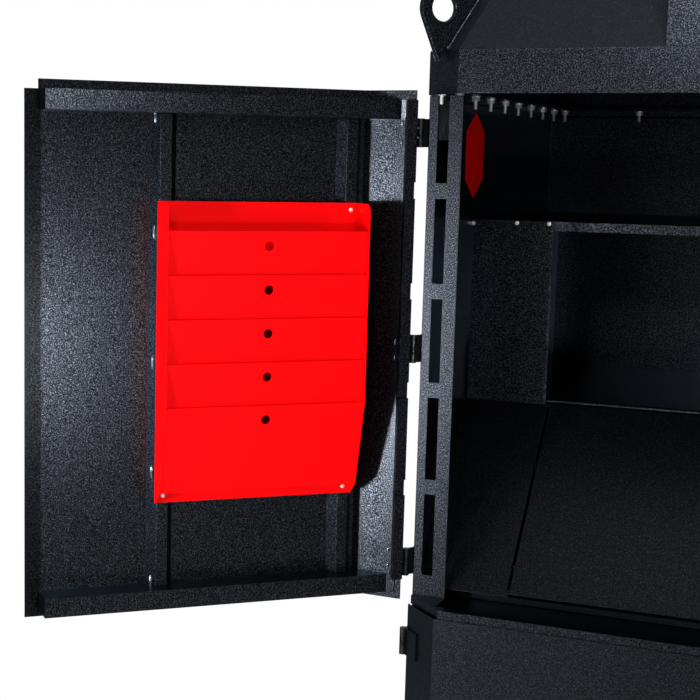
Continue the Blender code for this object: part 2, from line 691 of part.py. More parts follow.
def make_upper_door(label, side, steel):
    """One upper door: skin with hinge leaves, welded frame with ribs, and two hat stiffeners."""
    turn = math.radians(side * DOOR_OPEN)
    pivot = empty(label + "_door_axis", (across(side, -PIVOT_OUT), back(PIVOT_SETBACK), 0.0), turn)
    low, high = RIM_HEIGHT - DOOR_OVERLAP_BOTTOM, OPENING_TOP + DOOR_OVERLAP_TOP
    skin = piece(label + "_door_skin", prism(leaf(side, skin_profile(True)), "Z", low, high), steel, pivot)
    corner = rectangle(FREE_REACH - NOTCH_REACH, SKIN_STAND - WALL, FREE_REACH + WALL, SKIN_STAND + WALL)
    notch = prism(leaf(side, corner), "Z", high - NOTCH_HEIGHT, high + WALL)
    solve(skin, piece(label + "_door_notch", notch, steel, pivot), "DIFFERENCE")
    rear = SKIN_STAND - HEM_SHEET - WALL
    lap = rectangle(FREE_REACH - HEM - WALL, rear, FREE_REACH + WALL, SKIN_STAND - FIT)
    relief = prism(leaf(side, lap), "Z", low - WALL, RIM_HEIGHT + HEM_CLEAR)
    prism(leaf(side, lap), "Z", OPENING_TOP - HEM_CLEAR, high + WALL, relief)
    solve(skin, piece(label + "_door_hem_relief", relief, steel, pivot), "DIFFERENCE")
    for number, height in enumerate(UPPER_HINGE_HEIGHTS, 1):
        add_door_hinge(skin, f"{label}_door_hinge_{number}", side, RIM_HEIGHT + height, pivot, steel)
        make_frame_hinge(f"hinge_frame_{label}_{number}", side, RIM_HEIGHT + height, steel)

    profile = leaf(side, rail_profile(FREE_REACH - HEM - RAIL_SETBACK, RAIL_LAP))
    top = OPENING_TOP - RAIL_TOP_DROP
    bottom = RIM_HEIGHT + RAIL_BOTTOM_LIFT
    frame = piece(label + "_door_frame", prism(profile, "Z", top - RAIL_HEIGHT, top), steel, pivot)
    lower = piece(label + "_door_lower_rail", prism(profile, "Z", bottom, bottom + RAIL_HEIGHT), steel, pivot)
    solve(frame, lower, "UNION")
    near = HINGE_EDGE + 3 * FIT
    far = near + RIB_WIDTH
    slant = SKIN_STAND - BEND_REACH - 3 * FIT
    foot = far - RIB_LEAN
    section = [(near, RIB_STAND + FIT), (far, RIB_STAND + FIT), (foot, foot + slant), (near, near + slant)]
    strip = prism(leaf(side, section), "Z", bottom + RAIL_HEIGHT - RIB_FOOT_LAP, top)
    solve(frame, piece(label + "_door_rib_strip", strip, steel, pivot), "UNION")
    gaps = bmesh.new()
    room = rectangle(near - WALL, RIB_STAND - WALL, far + WALL, RIB_STAND + RIB_RISE)
    for i in range(SLOT_COUNT - 1):
        end = RIM_HEIGHT + SLOT_START + i * SLOT_PITCH + SLOT_LENGTH
        prism(leaf(side, room), "Z", end, end + SLOT_PITCH - SLOT_LENGTH, gaps)
    solve(frame, piece(label + "_door_rib_gaps", gaps, steel, pivot), "DIFFERENCE")

    for name, reach in zip(("outer", "inner"), HAT_REACHES):
        base = SKIN_STAND - FIT
        crown = base - HAT_HEIGHT
        slant = (HAT_BASE - HAT_TOP) / 2
        wall = HAT_SHEET * math.hypot(slant, HAT_HEIGHT) / HAT_HEIGHT
        foot, inner_foot = HAT_BASE / 2, HAT_BASE / 2 - wall
        brow = HAT_TOP / 2
        inner_brow = brow + slant * HAT_SHEET / HAT_HEIGHT - wall
        section = [(foot, base), (brow, crown), (-brow, crown), (-foot, base), (-inner_foot, base),
                   (-inner_brow, crown + HAT_SHEET), (inner_brow, crown + HAT_SHEET), (inner_foot, base)]
        shape = leaf(side, [(reach + run, stand) for run, stand in section])
        hat = prism(shape, "Z", bottom + RAIL_HEIGHT + FIT, top - RAIL_HEIGHT - FIT)
        piece(f"{label}_door_stiffener_{name}", hat, steel, pivot)
    return pivot, skin


def make_rack(pivot, side, red):
    """Document rack on the stiffeners: a back with two cheeks, and five leaning pocket fronts."""
    rear = SKIN_STAND - FIT - HAT_HEIGHT - FIT
    near, far = RACK_HINGE_SIDE, RACK_HINGE_SIDE + RACK_WIDTH
    low, high = RIM_HEIGHT + RACK_BOTTOM, RIM_HEIGHT + RACK_TOP
    sheet = rectangle(near, rear - RACK_SHEET, far, rear)
    rack = piece("document_rack", prism(leaf(side, sheet), "Z", low, high), red, pivot)
    knee = POCKET_TOP - (POCKET_COUNT - 1) * POCKET_PITCH
    base = RACK_BOTTOM + RACK_FLOOR_LIFT
    round_centre = (RACK_DEPTH - RACK_CORNER, RACK_TOP - RACK_CORNER)
    cheek = [(RACK_SHEET / 2, RACK_BOTTOM + FIT), (RACK_TOE, RACK_BOTTOM + FIT),
             (RACK_FOOT_DEPTH, base), (RACK_DEPTH, knee)]
    cheek += arc(round_centre, RACK_CORNER, 0.0, 90.0, 4)
    cheek.append((RACK_SHEET / 2, RACK_TOP - FIT / 2))
    for name, start in (("near", near + FIT / 2), ("far", far - RACK_SHEET - FIT / 2)):
        ends = sorted((-side * start, -side * (start + RACK_SHEET)))
        outline = [(out - rear, RIM_HEIGHT + height) for out, height in cheek]
        solve(rack, piece(f"rack_{name}_cheek", prism(outline, "X", *ends), red, pivot), "UNION")
    inside = sorted((-side * (near + RACK_SHEET + 2 * FIT), -side * (far - RACK_SHEET - 2 * FIT)))
    middle = sum(inside) / 2
    lip = RACK_DEPTH - RACK_SHEET
    for number in range(1, POCKET_COUNT + 1):
        top = POCKET_TOP - (number - 1) * POCKET_PITCH
        if number == POCKET_COUNT:
            path = [(lip, top), (RACK_FOOT_DEPTH - RACK_SHEET, base), (RACK_SHEET + FIT, base)]
        else:
            foot = lip - POCKET_LEAN * POCKET_HEIGHT / POCKET_PITCH
            path = [(lip, top), (foot, top - POCKET_HEIGHT), (foot - POCKET_FOLD, top - POCKET_HEIGHT)]
            if number == 1:
                path[-1] = (RACK_SHEET + FIT, top - POCKET_HEIGHT)
        outline = [(out - rear, RIM_HEIGHT + height) for out, height in folded(path, -RACK_SHEET)]
        pocket = piece(f"rack_pocket_{number}", prism(outline, "X", *inside), red, pivot)
        centre = (middle, RIM_HEIGHT + top - POCKET_HOLE_DROP)
        behind = lip - rear - 2 * (POCKET_LEAN + RACK_SHEET)
        hole = prism(circle(centre, POCKET_HOLE), "Y", behind, lip - rear + WALL)
        solve(pocket, piece(f"rack_hole_{number}", hole, red, pivot), "DIFFERENCE")


def make_lock(name, door, door_pivot, side, height, dark):
    """A grip outside the door, its spindle through the skin, and a cam on the inside."""
    reach = FREE_REACH - LOCK_FROM_EDGE
    outside = SKIN_STAND + DOOR_SHEET
    inside = PIVOT_SETBACK - CAM_SETBACK
    centre = (-side * reach, height)
    bore = LOCK_SPINDLE_RADIUS + LOCK_RUNNING
    passage = prism(circle(centre, bore), "Y", -outside - WALL, WALL - SKIN_STAND)
    solve(door, piece(name + "_passage", passage, dark, door_pivot), "DIFFERENCE")
    pivot = empty(name + "_axis", (centre[0], 0.0, centre[1]))
    pivot.parent = door_pivot
    hub = (0.0, 0.0)
    spindle = prism(circle(hub, LOCK_SPINDLE_RADIUS), "Y", -outside - LOCK_ROSE, -inside + 2 * CAM_SHEET)
    handle = piece(name + "_handle", spindle, dark, pivot)
    start = -outside - FIT - LOCK_ROSE
    rose = prism(circle(hub, LOCK_ROSE_RADIUS), "Y", start, -outside - FIT)
    solve(handle, piece(name + "_rose", rose, dark, pivot), "UNION")
    neck = prism(circle(hub, bore), "Y", start - LOCK_NECK, start + LOCK_ROSE / 2)
    solve(handle, piece(name + "_neck", neck, dark, pivot), "UNION")
    half = LOCK_GRIP_LENGTH / 2 - LOCK_GRIP_WIDTH / 2
    grip = (arc((0.0, half), LOCK_GRIP_WIDTH / 2, 0.0, 180.0, 6)
            + arc((0.0, -half), LOCK_GRIP_WIDTH / 2, 180.0, 360.0, 6))
    bar = prism(grip, "Y", start - LOCK_NECK - LOCK_GRIP_DEPTH, start - LOCK_NECK + WALL)
    solve(handle, piece(name + "_grip", bar, dark, pivot), "UNION")
    half = CAM_WIDTH / 2
    arm = [(half, 0.0), (half, CAM_LENGTH), (-half, CAM_LENGTH), (-half, 0.0)]
    arm += arc(hub, half, 180.0, 360.0, 8)[1:-1]
    cam = piece(name + "_cam", prism(arm, "Y", -inside, -inside + CAM_SHEET), dark, pivot)
    eye = prism(circle(hub, LOCK_SPINDLE_RADIUS + FIT), "Y", -inside - WALL, -inside + CAM_SHEET + WALL)
    solve(cam, piece(name + "_cam_eye", eye, dark, pivot), "DIFFERENCE")


def make_lower_door(label, side, steel):
    """One lower door: skin, two welded rails inside and its hinge leaves."""
    place = (across(side, -PIVOT_OUT), back(PIVOT_SETBACK), 0.0)
    pivot = empty(f"lower_{label}_door_axis", place)
    top = RIM_HEIGHT - RIM_BAND
    door = piece(f"lower_{label}_door", prism(leaf(side, skin_profile(False)), "Z", LOWER_DOOR_BOTTOM, top),
                 steel, pivot)
    stop = HALF_WIDTH + PIVOT_OUT - MULLION_WIDTH / 2 - 2 * WALL
    profile = [(reach, stand + 2 * FIT) for reach, stand in rail_profile(stop)]
    lows = (PAN_TOP + LOWER_RAIL_CLEAR, top - LOWER_RAIL_CLEAR - LOWER_RAIL_HEIGHT)
    for name, low in zip(("bottom", "top"), lows):
        rail = prism(leaf(side, profile), "Z", low, low + LOWER_RAIL_HEIGHT)
        solve(door, piece(f"lower_{label}_{name}_rail", rail, steel, pivot), "UNION")
    for number, height in enumerate(LOWER_HINGE_HEIGHTS, 1):
        add_door_hinge(door, f"lower_{label}_hinge_{number}", side, RIM_HEIGHT + height, pivot, steel)
        make_frame_hinge(f"hinge_frame_lower_{label}_{number}", side, RIM_HEIGHT + height, steel)
    return pivot, door


def main():
    """Build the cabinet with its upper doors standing open."""
    clear_scene()
    steel = paint("black_powder_coat", (0.020, 0.021, 0.023), 0.55, 0.0)
    red = paint("red_powder_coat", (0.86, 0.004, 0.006), 0.45, 0.0)
    dark = paint("black_handle", (0.012, 0.012, 0.013), 0.40, 0.0)
    make_base(steel)
    make_walls(steel, red)
    make_posts(steel)
    make_deck(steel)
    make_mullion(steel)
    make_canopy(steel)
    make_lugs(steel)
    make_shelving(steel)
    make_desk(steel)
    for label, side in SIDES.items():
        pivot, skin = make_upper_door(label, side, steel)
        if side == LEFT:
            make_rack(pivot, side, red)
        else:
            make_lock("upper_lock", skin, pivot, side, RIM_HEIGHT + UPPER_LOCK_HEIGHT, dark)
        pivot, door = make_lower_door(label, side, steel)
        make_lock(f"lower_{label}_lock", door, pivot, side, RIM_HEIGHT - LOWER_LOCK_DROP, dark)


main()
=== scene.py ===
"""Looks of a jobsite storage cabinet: sandy black coat, red rack, bright fasteners, stage and camera."""

import json
import math

import bpy
from bpy.props import FloatProperty, FloatVectorProperty, PointerProperty
from mathutils import Matrix, Vector


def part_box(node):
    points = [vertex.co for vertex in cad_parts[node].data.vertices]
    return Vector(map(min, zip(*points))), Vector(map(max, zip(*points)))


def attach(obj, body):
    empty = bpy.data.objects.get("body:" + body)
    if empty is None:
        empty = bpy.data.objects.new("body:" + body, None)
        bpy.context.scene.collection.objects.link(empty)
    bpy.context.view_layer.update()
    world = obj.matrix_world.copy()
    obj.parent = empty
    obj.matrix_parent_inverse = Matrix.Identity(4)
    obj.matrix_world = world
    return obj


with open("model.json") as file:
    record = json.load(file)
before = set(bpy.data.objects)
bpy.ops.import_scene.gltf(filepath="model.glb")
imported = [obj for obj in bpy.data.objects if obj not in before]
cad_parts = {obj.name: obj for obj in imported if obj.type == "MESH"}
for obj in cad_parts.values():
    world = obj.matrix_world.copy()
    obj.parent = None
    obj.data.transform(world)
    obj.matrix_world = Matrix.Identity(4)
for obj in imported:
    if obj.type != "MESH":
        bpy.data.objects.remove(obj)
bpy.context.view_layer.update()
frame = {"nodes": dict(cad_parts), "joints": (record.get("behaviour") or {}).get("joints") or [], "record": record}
NODES = frame["nodes"]

bl_info = {
    "name": "Jobsite cabinet finish",
    "version": (1, 0, 0),
    "blender": (4, 5, 0),
    "location": "View3D > Sidebar > Cabinet",
    "description": "Coats, fasteners and studio stage for a sheet-steel site cabinet",
    "category": "Object",
}

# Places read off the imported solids
WALL_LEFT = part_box("side_panel_left")
WALL_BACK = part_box("back_panel")
COVER_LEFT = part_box("cover_panel_left")
LEFT_HINGE = next(j for j in frame["joints"] if j["name"] == "left_door_hinge")
RIGHT_HINGE = next(j for j in frame["joints"] if j["name"] == "right_door_hinge")
DOOR_OPEN = math.radians(-LEFT_HINGE["range_deg"][0])

# Lengths of the solids that the coats and the small pieces follow
SHEET = 0.003
ROOF_RISE = 0.105
ROOF_RUN = 0.049
ROOF_CORNER = 0.031
LUG_FOOT = 0.085
LUG_HALF = 0.005
FLANGE_DROP = 0.0165
HEM_REACH = 0.5666
RAIL_HEIGHT = 0.0295
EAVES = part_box("canopy")[1].z - ROOF_RISE
RAIL_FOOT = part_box("left_door_frame")[1].z - RAIL_HEIGHT

# Slope that the top rails' shading leans by, and half the width of the change at a line across a coat
RAIL_LEAN = 0.21
LINE_BLUR = 0.002

# How each solid's mesh is cleaned and rounded; the roof folds by 25 degrees at its eaves
MERGE = 0.0004
FLAT_ANGLE = math.radians(0.5)
EDGE_ANGLE = math.radians(24.5)

# Heights and growths of the rings that draw out the small fasteners
WASHER_STEPS = ((-0.0013, 1.0), (-0.0003, 0.95))
NUT_CHAMFER = 0.94
NUT_STEPS = ((-0.0005, 1.0 / NUT_CHAMFER), (-0.0050, 1.0), (-0.0007, 0.90))
SCREW_STEPS = ((0.0007, 1.0), (0.0007, 0.86), (0.0003, 0.70), (0.0, 0.80), (-0.0012, 0.85))
RIVET_STEPS = ((0.0004, 1.0), (0.0006, 0.86), (0.0004, 0.70), (0.0001, 0.45), (-0.0006, 0.90))

# Point of view: place, then yaw, pitch and roll in degrees, then shift of the lens
CAMERA_PLACE = (0.1054, -2.6017, 1.5481)
CAMERA_TURN = (-23.859, -7.912, 1.120)
CAMERA_SHIFT = (0.15107, 0.03316)

# Coat of each material slot, and the solids that have a coat of their own
SLOT_COATS = {
    "black_coat": "black",
    "red_coat": "red",
    "hinge_steel": "hinge",
    "lock_metal": "lock",
}
OWN_COATS = {
    "canopy": "roof",
    "left_door_frame": "rail",
    "right_door_frame": "rail",
    "left_door_skin": "left_skin",
    "right_door_skin": "right_skin",
    "desk_lid": "desk",
    "desk_strip_left": "desk",
    "desk_strip_right": "desk",
    "desk_riser": "desk",
    "lower_left_door": "calm",
    "lower_right_door": "calm",
    "floor_pan": "calm",
    "skid_left": "calm",
    "skid_middle": "calm",
    "skid_right": "calm",
}


class CoatSettings(bpy.types.PropertyGroup):
    """The black sandy coat on the sheet steel."""

    dark: FloatVectorProperty(
        name="Coat", description="Colour of the coat between its grains",
        subtype="COLOR", size=3, min=0.0, max=1.0, default=(0.0040, 0.0044, 0.0052))
    glint: FloatVectorProperty(
        name="Glint", description="Colour of the grains that catch the light",
        subtype="COLOR", size=3, min=0.0, max=1.0, default=(0.200, 0.226, 0.280))
    grain: FloatProperty(
        name="Grain", description="Width of one grain of the coat",
        unit="LENGTH", min=0.0005, max=0.01, default=0.0018)
    relief: FloatProperty(
        name="Relief", description="Height of the grains",
        unit="LENGTH", min=0.0, max=0.005, default=0.00005)
    edge: FloatProperty(
        name="Edge", description="Rounding of the folded and cut edges",
        unit="LENGTH", min=0.0, max=0.003, default=0.0010)


class RackSettings(bpy.types.PropertyGroup):
    """The red coat on the rack and the wall infills."""

    red: FloatVectorProperty(
        name="Red", description="Colour of the red coat",
        subtype="COLOR", size=3, min=0.0, max=1.0, default=(1.0, 0.0016, 0.0030))
    shade: FloatVectorProperty(
        name="Shade", description="Colour in the hollows of the red coat",
        subtype="COLOR", size=3, min=0.0, max=1.0, default=(0.92, 0.0010, 0.0020))


class FastenerSettings(bpy.types.PropertyGroup):
    """Bolts, screws, rivets and welds."""

    nut: FloatProperty(
        name="Nut", description="Half the width across a roof nut's corners",
        unit="LENGTH", min=0.002, max=0.02, default=0.0066)
    washer: FloatProperty(
        name="Washer", description="Radius of a roof bolt's washer",
        unit="LENGTH", min=0.003, max=0.03, default=0.0078)
    drop: FloatProperty(
        name="Drop", description="How far a roof bolt hangs under its flange",
        unit="LENGTH", min=0.01, max=0.06, default=0.021)
    pitch: FloatProperty(
        name="Pitch", description="Distance between two roof bolts along a side wall",
        unit="LENGTH", min=0.02, max=0.5, default=0.0945)
    screw: FloatProperty(
        name="Screw", description="Radius of a cover screw's head",
        unit="LENGTH", min=0.001, max=0.01, default=0.0036)
    rivet: FloatProperty(
        name="Rivet", description="Radius of a rack rivet's head",
        unit="LENGTH", min=0.001, max=0.01, default=0.0034)
    tack: FloatProperty(
        name="Tack", description="Radius of a tack weld on a door",
        unit="LENGTH", min=0.0005, max=0.006, default=0.0034)
    bead: FloatProperty(
        name="Bead", description="Radius of the weld bead at a lifting lug's foot",
        unit="LENGTH", min=0.001, max=0.01, default=0.0045)
    seam: FloatProperty(
        name="Seam", description="Radius of the seam weld in a back corner",
        unit="LENGTH", min=0.0005, max=0.006, default=0.0016)
    ripple: FloatProperty(
        name="Ripple", description="Length of one ripple of a weld bead",
        unit="LENGTH", min=0.001, max=0.02, default=0.0055)


class StageSettings(bpy.types.PropertyGroup):
    """Floor, lights and camera."""

    floor: FloatVectorProperty(
        name="Floor", description="Colour of the floor",
        subtype="COLOR", size=3, min=0.0, max=1.0, default=(0.93, 0.93, 0.93))
    key: FloatProperty(
        name="Key", description="Power of the tall light on the left",
        unit="POWER", min=0.0, max=2000.0, default=52.0)
    side: FloatProperty(
        name="Side", description="Power of the small light on the right",
        unit="POWER", min=0.0, max=2000.0, default=6.2)
    front: FloatProperty(
        name="Front", description="Power of the light above the camera",
        unit="POWER", min=0.0, max=2000.0, default=12.5)
    fill: FloatProperty(
        name="Fill", description="Power of the wide light high on the right",
        unit="POWER", min=0.0, max=2000.0, default=26.0)
    over: FloatProperty(
        name="Over", description="Power of the wide light overhead",
        unit="POWER", min=0.0, max=2000.0, default=1.4)
    rear: FloatProperty(
        name="Rear", description="Power of each wide light behind and beside the cabinet",
        unit="POWER", min=0.0, max=2000.0, default=30.0)
    sky: FloatProperty(
        name="Sky", description="Strength of the light from all round", min=0.0, max=10.0, default=0.2)
    lens: FloatProperty(
        name="Lens", description="Focal length of the camera",
        unit="CAMERA", min=10.0, max=300.0, default=77.807)


def deselect():
    """Leave nothing selected, so that an operator acts on its own piece alone."""
    if bpy.context.object and bpy.context.object.mode != "OBJECT":
        bpy.ops.object.mode_set(mode="OBJECT")
    bpy.ops.object.select_all(action="DESELECT")


def choose(*objects):
    """Select these objects, the first one active."""
    deselect()
    for item in objects:
        item.select_set(True)
    bpy.context.view_layer.objects.active = objects[0]


def start_disc(sides, radius, height=0.0):
    """Start a new shape, or a new part of the shape in edit mode, with a filled ring."""
    if bpy.context.mode == "OBJECT":
        deselect()
    middle = (0.0, 0.0, height)
    bpy.ops.mesh.primitive_circle_add(vertices=sides, radius=radius, fill_type="NGON", location=middle)
    if bpy.context.mode == "OBJECT":
        bpy.ops.object.transform_apply(location=True)
        bpy.ops.object.mode_set(mode="EDIT")
    bpy.ops.mesh.select_mode(type="FACE")


def draw_out(step, grow=1.0):
    """In edit mode, extrude the picked face along Z and scale its new ring."""
    bpy.ops.mesh.extrude_region_move(TRANSFORM_OT_translate={"value": (0.0, 0.0, step)})
    bpy.ops.transform.resize(value=(grow, grow, 1.0))


def draw_steps(steps):
    """Draw a shape out ring by ring."""
    for step, grow in steps:
        draw_out(step, grow)


def close_shape():
    """Merge the doubles, turn the faces outwards and leave edit mode."""
    bpy.ops.mesh.select_all(action="SELECT")
    bpy.ops.mesh.remove_doubles(threshold=0.000001)
    bpy.ops.mesh.normals_make_consistent(inside=False)
    bpy.ops.object.mode_set(mode="OBJECT")
    return bpy.context.object


def spread(master, name, material, places):
    """Copy a shape to its places, each copy a piece with its own mesh that rides on its own body."""
    made = []
    for number, (place, body) in enumerate(places, 1):
        twin = master.copy()
        twin.data = master.data.copy()
        twin.name = f"{name}_{number:02d}"
        twin.data.name = twin.name
        twin.data.materials.clear()
        twin.data.materials.append(material)
        bpy.context.collection.objects.link(twin)
        twin.matrix_world = place
        made.append((twin, body))
    bpy.data.objects.remove(master)
    choose(*(twin for twin, _ in made))
    bpy.ops.object.transform_apply(location=True, rotation=True, scale=True)
    bpy.ops.object.shade_smooth_by_angle(angle=math.radians(35.0))
    for twin, body in made:
        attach(twin, body)


def weld_bead(length, radius, ripple):
    """A rippled weld bead along Z, drawn out of a small ring and closed at both ends."""
    count = max(1, round(length / ripple))
    half = length / count / 2
    tip, swell, waist = 0.5, 1.9, 0.84
    start_disc(10, radius * tip, -length / 2)
    draw_out(half, swell)
    for _ in range(count - 1):
        draw_steps(((half, waist), (half, 1.0 / waist)))
    draw_out(half, tip)
    return close_shape()


def door_place(side, reach, stand, height):
    """World place of a point on an open upper door, from its reach and stand about the hinge."""
    hinge = LEFT_HINGE if side < 0 else RIGHT_HINGE
    turn = Matrix.Rotation(side * DOOR_OPEN, 4, "Z")
    spot = Vector((hinge["pos_m"][0], hinge["pos_m"][1], height))
    return Matrix.Translation(spot) @ turn @ Matrix.Translation(Vector((-side * reach, -stand, 0.0)))


def socket(tree, name, way, kind, default=None):
    """Add one socket to a node group."""
    made = tree.interface.new_socket(name=name, in_out=way, socket_type=kind)
    if default is not None:
        made.default_value = default
    return made


def link(tree, first, second):
    """Join two sockets."""
    tree.links.new(first, second)


def math_node(tree, work, first, second):
    """One step of arithmetic on a socket, with a socket or a number."""
    node = tree.nodes.new("ShaderNodeMath")
    node.operation = work
    link(tree, first, node.inputs[0])
    if isinstance(second, (int, float)):
        node.inputs[1].default_value = second
    else:
        link(tree, second, node.inputs[1])
    return node.outputs["Value"]


def sandy_group():
    """Shader group of a sandy coat: a grain's height, a mask of bright grains and a slow change of tone."""
    known = bpy.data.node_groups.get("sandy_coat")
    if known:
        return known
    tree = bpy.data.node_groups.new("sandy_coat", "ShaderNodeTree")
    socket(tree, "Vector", "INPUT", "NodeSocketVector")
    socket(tree, "Grains", "INPUT", "NodeSocketFloat", 400.0)
    socket(tree, "Sparsity", "INPUT", "NodeSocketFloat", 0.22)
    socket(tree, "Strength", "INPUT", "NodeSocketFloat", 1.0)
    socket(tree, "Level", "INPUT", "NodeSocketFloat", 0.0)
    socket(tree, "Height", "OUTPUT", "NodeSocketFloat")
    socket(tree, "Glint", "OUTPUT", "NodeSocketFloat")
    socket(tree, "Tone", "OUTPUT", "NodeSocketFloat")
    entry = tree.nodes.new("NodeGroupInput")
    leave = tree.nodes.new("NodeGroupOutput")
    sand = tree.nodes.new("ShaderNodeTexNoise")
    sand.inputs["Detail"].default_value = 1.5
    sand.inputs["Roughness"].default_value = 0.6
    link(tree, entry.outputs["Vector"], sand.inputs["Vector"])
    link(tree, entry.outputs["Grains"], sand.inputs["Scale"])
    ramp = tree.nodes.new("ShaderNodeMapRange")
    ramp.inputs["From Max"].default_value = 0.79
    link(tree, sand.outputs["Fac"], ramp.inputs["Value"])
    link(tree, entry.outputs["Sparsity"], ramp.inputs["From Min"])
    peak = math_node(tree, "POWER", ramp.outputs["Result"], 3.4)
    grains = math_node(tree, "MULTIPLY", peak, entry.outputs["Strength"])
    glint = math_node(tree, "ADD", grains, entry.outputs["Level"])
    finer = math_node(tree, "MULTIPLY", entry.outputs["Grains"], 1.6)
    pits = tree.nodes.new("ShaderNodeTexNoise")
    pits.inputs["Detail"].default_value = 0.0
    link(tree, entry.outputs["Vector"], pits.inputs["Vector"])
    link(tree, finer, pits.inputs["Scale"])
    slow = tree.nodes.new("ShaderNodeTexNoise")
    slow.inputs["Scale"].default_value = 5.0
    slow.inputs["Detail"].default_value = 3.0
    link(tree, entry.outputs["Vector"], slow.inputs["Vector"])
    link(tree, pits.outputs["Fac"], leave.inputs["Height"])
    link(tree, glint, leave.inputs["Glint"])
    link(tree, slow.outputs["Fac"], leave.inputs["Tone"])
    return tree


def new_material(name):
    """A material with its Principled shader and an Object coordinate."""
    material = bpy.data.materials.new(name)
    material.use_nodes = True
    tree = material.node_tree
    shader = tree.nodes["Principled BSDF"]
    where = tree.nodes.new("ShaderNodeTexCoord")
    return material, tree, shader, where


def mixed(tree, mask, first, second):
    """A colour that goes from the first to the second by a mask."""
    mix = tree.nodes.new("ShaderNodeMix")
    mix.data_type = "RGBA"
    mix.inputs["A"].default_value = (*first, 1.0)
    mix.inputs["B"].default_value = (*second, 1.0)
    link(tree, mask, mix.inputs["Factor"])
    return mix.outputs["Result"]


def ranged(tree, value, low, high):
    """A value from 0 to 1 mapped to another range."""
    node = tree.nodes.new("ShaderNodeMapRange")
    node.inputs["To Min"].default_value = low
    node.inputs["To Max"].default_value = high
    link(tree, value, node.inputs["Value"])
    return node.outputs["Result"]


def bumped(tree, height, shader, distance, strength):
    """Feed a height to the shader's normal."""
    bump = tree.nodes.new("ShaderNodeBump")
    bump.inputs["Distance"].default_value = distance
    bump.inputs["Strength"].default_value = strength
    link(tree, height, bump.inputs["Height"])
    link(tree, bump.outputs["Normal"], shader.inputs["Normal"])
    return bump


def leaning(tree, where, start, slope):
    """A normal that leans down above a height, for a face folded a little out of upright."""
    parts = tree.nodes.new("ShaderNodeSeparateXYZ")
    link(tree, where.outputs["Object"], parts.inputs["Vector"])
    above = math_node(tree, "SUBTRACT", parts.outputs["Z"], start)
    bump = tree.nodes.new("ShaderNodeBump")
    bump.inputs["Distance"].default_value = slope
    link(tree, math_node(tree, "MAXIMUM", above, 0.0), bump.inputs["Height"])
    return bump.outputs["Normal"]


def past_line(tree, where, direction, distance):
    """A mask that goes from 0 to 1 at a line across the piece."""
    along = tree.nodes.new("ShaderNodeVectorMath")
    along.operation = "DOT_PRODUCT"
    along.inputs[1].default_value = direction
    link(tree, where.outputs["Object"], along.inputs[0])
    past = tree.nodes.new("ShaderNodeMapRange")
    past.inputs["From Min"].default_value = distance - LINE_BLUR
    past.inputs["From Max"].default_value = distance + LINE_BLUR
    link(tree, along.outputs["Value"], past.inputs["Value"])
    return past.outputs["Result"]


def sandy_coat(name, coat, roughness, strength=1.0, calm=None, even=0.0, lean=None):
    """Sandy powder coat: a dark base with bright grains.

    calm holds a line's direction and distance, then the grain, the even glint and the roughness past it; on the
    door hems this paints shade on the hem strip, and above the eaves it paints sheen on the roof slopes.
    even is a glint all over; on the welds it is a painted highlight. lean is the height where a face starts to
    lean, and by what slope.
    """
    material, tree, shader, where = new_material(name)
    sand = tree.nodes.new("ShaderNodeGroup")
    sand.node_tree = sandy_group()
    sand.inputs["Grains"].default_value = 1.0 / coat.grain
    sand.inputs["Strength"].default_value = strength
    sand.inputs["Level"].default_value = even
    link(tree, where.outputs["Object"], sand.inputs["Vector"])
    rough = ranged(tree, sand.outputs["Tone"], *roughness)
    if calm:
        direction, distance, rest, level, satin = calm
        past = past_line(tree, where, direction, distance)
        link(tree, ranged(tree, past, strength, strength * rest), sand.inputs["Strength"])
        link(tree, ranged(tree, past, 0.0, level), sand.inputs["Level"])
        blend = tree.nodes.new("ShaderNodeMix")
        blend.inputs["B"].default_value = satin
        link(tree, past, blend.inputs["Factor"])
        link(tree, rough, blend.inputs["A"])
        rough = blend.outputs["Result"]
    grains = mixed(tree, sand.outputs["Glint"], tuple(coat.dark), tuple(coat.glint))
    link(tree, grains, shader.inputs["Base Color"])
    link(tree, rough, shader.inputs["Roughness"])
    shader.inputs["Metallic"].default_value = 0.97
    shader.inputs["Specular IOR Level"].default_value = 0.07
    shader.inputs["Specular Tint"].default_value = (0.80, 0.89, 1.0, 1.0)
    bump = bumped(tree, sand.outputs["Height"], shader, coat.relief, 1.0)
    if lean:
        link(tree, leaning(tree, where, *lean), bump.inputs["Normal"])
    return material


def smooth_coat(name, first, second, roughness, grain, gloss):
    """Smooth satin coat with a faint orange peel and a slow change of tone."""
    material, tree, shader, where = new_material(name)
    slow = tree.nodes.new("ShaderNodeTexNoise")
    slow.inputs["Scale"].default_value = 9.0
    slow.inputs["Detail"].default_value = 2.0
    link(tree, where.outputs["Object"], slow.inputs["Vector"])
    link(tree, mixed(tree, slow.outputs["Fac"], first, second), shader.inputs["Base Color"])
    peel = tree.nodes.new("ShaderNodeTexNoise")
    peel.inputs["Scale"].default_value = 1.0 / grain
    peel.inputs["Detail"].default_value = 1.0
    link(tree, where.outputs["Object"], peel.inputs["Vector"])
    link(tree, ranged(tree, peel.outputs["Fac"], *roughness), shader.inputs["Roughness"])
    shader.inputs["Specular IOR Level"].default_value = gloss
    bumped(tree, peel.outputs["Fac"], shader, grain * 0.02, 0.3)
    return material


def bright_zinc(name):
    """Bright zinc plating with fine streaks."""
    material, tree, shader, where = new_material(name)
    shader.inputs["Metallic"].default_value = 0.7
    streak = tree.nodes.new("ShaderNodeTexNoise")
    streak.inputs["Scale"].default_value = 900.0
    streak.inputs["Detail"].default_value = 3.0
    link(tree, where.outputs["Object"], streak.inputs["Vector"])
    tone = mixed(tree, streak.outputs["Fac"], (0.84, 0.85, 0.87), (1.0, 1.0, 1.0))
    link(tree, tone, shader.inputs["Base Color"])
    link(tree, ranged(tree, streak.outputs["Fac"], 0.26, 0.46), shader.inputs["Roughness"])
    return material


